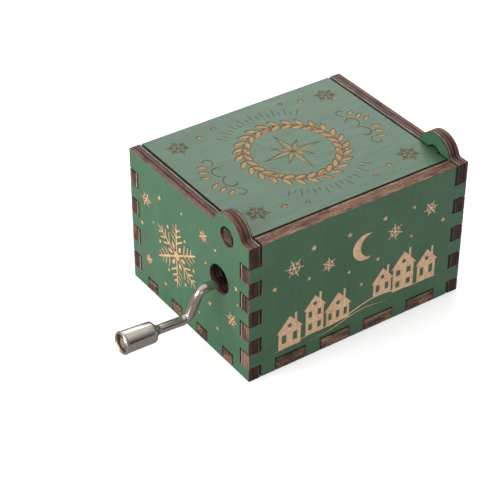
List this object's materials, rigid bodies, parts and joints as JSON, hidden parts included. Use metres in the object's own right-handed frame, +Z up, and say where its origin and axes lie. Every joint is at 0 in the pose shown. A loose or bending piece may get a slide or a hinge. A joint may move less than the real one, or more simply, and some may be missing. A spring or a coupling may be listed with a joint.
{
  "type": "hand-cranked music box",
  "caption": "Small laser-cut plywood music box with a flip-up lid, a bent crank with a turning knob, and a worm-driven pinned cylinder under a steel comb.",
  "frame": {"origin": "middle of the box's underside, on the flat face that it stands on", "axes": "+X along the long side, away from the crank; +Y from the picture side, where the lid turns, to the back, where it opens; +Z up"},
  "size_m": [0.0916, 0.052, 0.0434],
  "materials": {
    "green_ply": "green stained plywood with laser-burnt edges",
    "zinc": "satin die-cast zinc",
    "comb_steel": "ground spring steel",
    "lead": "dull lead",
    "brass": "turned brass",
    "nickel": "nickel-plated steel",
    "nylon": "moulded nylon"
  },
  "bodies": {
    "case": {"floor_panel": "green_ply", "front_panel": "green_ply", "back_panel": "green_ply", "crank_side_panel": "green_ply", "far_side_panel": "green_ply", "bedplate": "zinc", "worm_bracket": "zinc", "rear_bracket": "zinc", "comb": "comb_steel", "bass_weight_1": "lead", "bass_weight_2": "lead", "bass_weight_3": "lead", "bass_weight_4": "lead", "bass_weight_5": "lead", "bass_weight_6": "lead", "comb_screw_1": "nickel", "comb_screw_2": "nickel", "comb_screw_3": "nickel", "front_bracket_screw_1": "nickel", "front_bracket_screw_2": "nickel", "rear_bracket_screw_1": "nickel", "rear_bracket_screw_2": "nickel", "base_screw_1": "nickel", "base_screw_2": "nickel", "base_screw_3": "nickel"},
    "lid": {"lid_panel": "green_ply"},
    "cylinder": {"cylinder_sleeve": "brass", "cylinder_arbor": "nickel", "rear_hub": "brass", "worm_wheel": "nylon"},
    "crank": {"worm_shaft": "nickel", "shaft_clip": "nickel", "crank_rod": "nickel", "knob_washer": "brass"},
    "knob": {"crank_knob": "nickel"}
  },
  "joints": [
    {"name": "lid_hinge", "type": "hinge", "parent": "case", "child": "lid", "pos_m": [0, -0.017, 0.03735], "axis": [1, 0, 0], "range_deg": [0, 145]},
    {"name": "crank_turn", "type": "hinge", "parent": "case", "child": "crank", "pos_m": [-0.0325, -0.0136, 0.0223], "axis": [1, 0, 0], "continuous": true},
    {"name": "cylinder_spin", "type": "hinge", "parent": "case", "child": "cylinder", "pos_m": [-0.017, 0, 0.014], "axis": [0, 1, 0], "continuous": true},
    {"name": "knob_spin", "type": "hinge", "parent": "crank", "child": "knob", "pos_m": [-0.05457, -0.01192, 0.01446], "axis": [0.9981, 0.0128, -0.0597], "continuous": true}
  ],
  "couplings": [
    {"joint": "cylinder_spin", "follows": "crank_turn", "ratio": -0.05}
  ]
}
